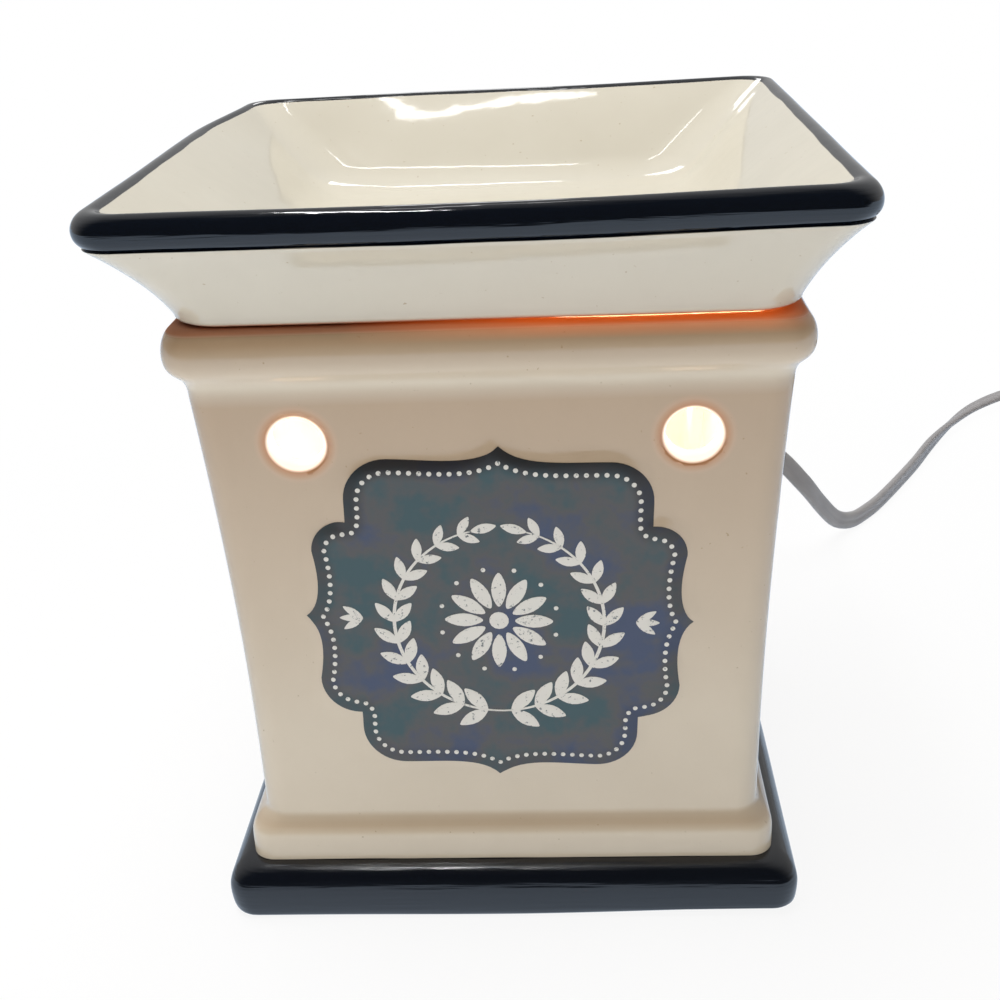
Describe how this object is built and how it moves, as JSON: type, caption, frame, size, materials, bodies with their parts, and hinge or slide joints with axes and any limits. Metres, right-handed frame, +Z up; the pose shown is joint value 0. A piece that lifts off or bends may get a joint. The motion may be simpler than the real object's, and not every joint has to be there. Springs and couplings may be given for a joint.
{
  "type": "electric wax warmer",
  "caption": "Square glazed earthenware wax warmer: flared dish that lifts off, tapered body with light holes and a plaque, bulb inside, flat lead with in-line switch and plug",
  "frame": {"origin": "middle of the footprint, on the table", "axes": "+Z up, -Y out of the front face with the plaque, +X to the right as seen from the front"},
  "size_m": [0.3891, 0.3485, 0.1665],
  "materials": {
    "cream_glaze": "glossy cream glaze, black glaze on the rim and plinth",
    "foot_rubber": "clear grey bumper",
    "fibre_board": "dark pressed board",
    "zinc_steel": "zinc plated",
    "brass": "satin",
    "phenolic": "moulded phenolic",
    "brown_wire": "extruded insulation",
    "blue_wire": "extruded insulation",
    "black_glass": "opaque black",
    "nickel": "nickel plated",
    "frosted_glass": "frosted",
    "clear_glass": "clear",
    "tungsten": "drawn wire",
    "grey_vinyl": "satin moulded vinyl",
    "black_tie": "satin",
    "grey_plastic": "moulded, fine texture",
    "wheel_plastic": "moulded, ribbed"
  },
  "bodies": {
    "base": {"body_shell": "cream_glaze", "foot_1": "foot_rubber", "foot_2": "foot_rubber", "foot_3": "foot_rubber", "foot_4": "foot_rubber", "bottom_cover": "fibre_board", "cover_nut": "zinc_steel", "lock_nut": "zinc_steel", "floor_washer": "zinc_steel", "holder_washer": "fibre_board", "nipple": "brass", "holder_body": "phenolic", "screw_shell": "brass", "centre_contact": "brass", "terminal_screw_live": "brass", "terminal_screw_neutral": "brass", "lead_live": "brown_wire", "lead_neutral": "blue_wire", "strain_relief": "grey_vinyl", "cord_run": "grey_vinyl", "cord_link": "grey_vinyl", "cord_coil": "grey_vinyl", "cord_tie": "black_tie", "cord_tail": "grey_vinyl", "plug_body": "grey_vinyl", "plug_blade_1": "brass", "plug_blade_2": "brass", "switch_lower": "grey_plastic", "switch_upper": "grey_plastic", "switch_axle": "brass", "switch_screw_1": "zinc_steel", "switch_screw_2": "zinc_steel", "switch_contact_1": "brass", "switch_contact_2": "brass"},
    "dish": {"wax_dish": "cream_glaze"},
    "bulb": {"bulb_tip": "zinc_steel", "bulb_insulator": "black_glass", "bulb_cap": "nickel", "bulb_globe": "frosted_glass", "bulb_stem": "clear_glass", "bulb_wire_1": "nickel", "bulb_wire_2": "nickel", "bulb_filament": "tungsten"},
    "thumb_wheel": {"switch_wheel": "wheel_plastic"}
  },
  "joints": [
    {"name": "dish_lift", "type": "slide", "parent": "base", "child": "dish", "axis": [0, 0, 1], "range_m": [0, 0.12]},
    {"name": "bulb_turn", "type": "hinge", "parent": "base", "child": "bulb", "pos_m": [0, 0, 0.06], "axis": [0, 0, 1], "range_deg": [0, 1440]},
    {"name": "wheel_turn", "type": "hinge", "parent": "base", "child": "thumb_wheel", "pos_m": [0.248, 0.2593, 0.0075], "axis": [0, 0, 1], "continuous": true}
  ]
}
